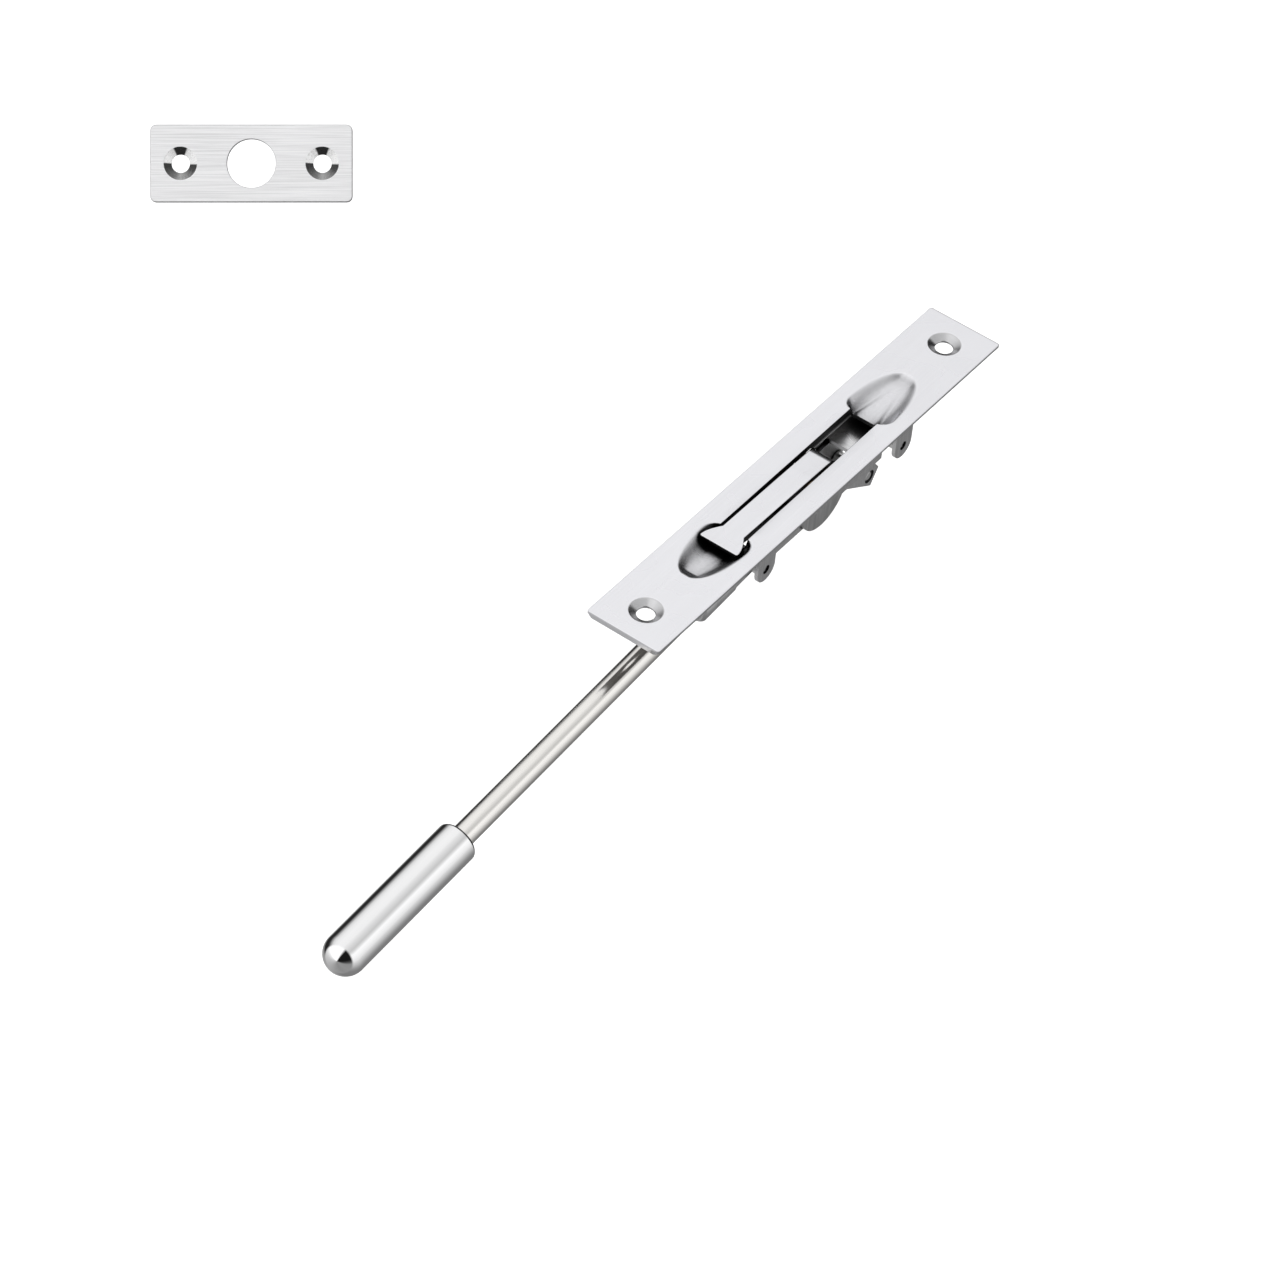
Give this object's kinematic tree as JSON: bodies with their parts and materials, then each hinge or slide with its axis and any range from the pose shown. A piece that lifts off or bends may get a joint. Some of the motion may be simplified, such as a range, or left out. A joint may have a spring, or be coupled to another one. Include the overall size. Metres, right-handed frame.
{
  "type": "flush bolt",
  "caption": "Lever-action extension flush bolt: a slotted faceplate, a flip lever, a sliding carriage and a hinged rod with a round-nosed bolt, with its strike plate.",
  "frame": {"origin": "centre of the faceplate's front face, which is also the centre of its screw pattern", "axes": "+Z out of the front face, X along the faceplate with the bolt towards -X, Y across the faceplate"},
  "size_m": [0.2987, 0.2511, 0.0487],
  "materials": {
    "satin_steel": "satin, fine brushing along the length",
    "pressed_steel": "dull satin, as pressed",
    "bright_steel": "bright, as drawn",
    "pin_steel": "turned, smooth",
    "bronze": "plain bearing bronze, satin",
    "nickel_rod": "drawn rod, nickel plated",
    "polished_bolt": "polished",
    "brushed_strike": "brushed along the length"
  },
  "bodies": {
    "root": {"faceplate": "satin_steel", "cheek_left": "pressed_steel", "cheek_right": "pressed_steel", "pivot_pin": "pin_steel", "pivot_spacers": "pin_steel", "friction_washers": "bronze", "strike_plate": "brushed_strike"},
    "lever": {"lever": "satin_steel", "hub_bush": "bronze", "crank_pin": "pin_steel", "crank_bushes": "bronze"},
    "carriage": {"carriage": "bright_steel", "yoke": "bright_steel", "drive_tabs": "bright_steel", "yoke_rivet": "pin_steel", "yoke_spacer": "pin_steel", "rod_hinge_pin": "pin_steel", "hinge_washers": "pin_steel", "spare_pin": "pin_steel", "spare_pin_tube": "pin_steel"},
    "rod": {"rod_connector": "bright_steel", "connector_pin": "pin_steel", "rod": "nickel_rod"},
    "bolt": {"bolt": "polished_bolt"}
  },
  "joints": [
    {"name": "lever_flip", "type": "hinge", "parent": "root", "child": "lever", "pos_m": [0, 0, -0.0039], "axis": [0, 1, 0], "range_deg": [0, 169.42]},
    {"name": "carriage_slide", "type": "slide", "parent": "root", "child": "carriage", "axis": [-1, 0, 0], "range_m": [0, 0.019]},
    {"name": "rod_swing", "type": "hinge", "parent": "carriage", "child": "rod", "pos_m": [-0.0253, 0, -0.0154], "axis": [0, 1, 0], "range_deg": [0, 8]},
    {"name": "bolt_turn", "type": "hinge", "parent": "rod", "child": "bolt", "pos_m": [-0.17471, 0, -0.02874], "axis": [-0.9952, 0, -0.0976], "continuous": true}
  ],
  "couplings": [
    {"joint": "lever_flip", "follows": "carriage_slide", "rad_per_m": 155.63}
  ]
}
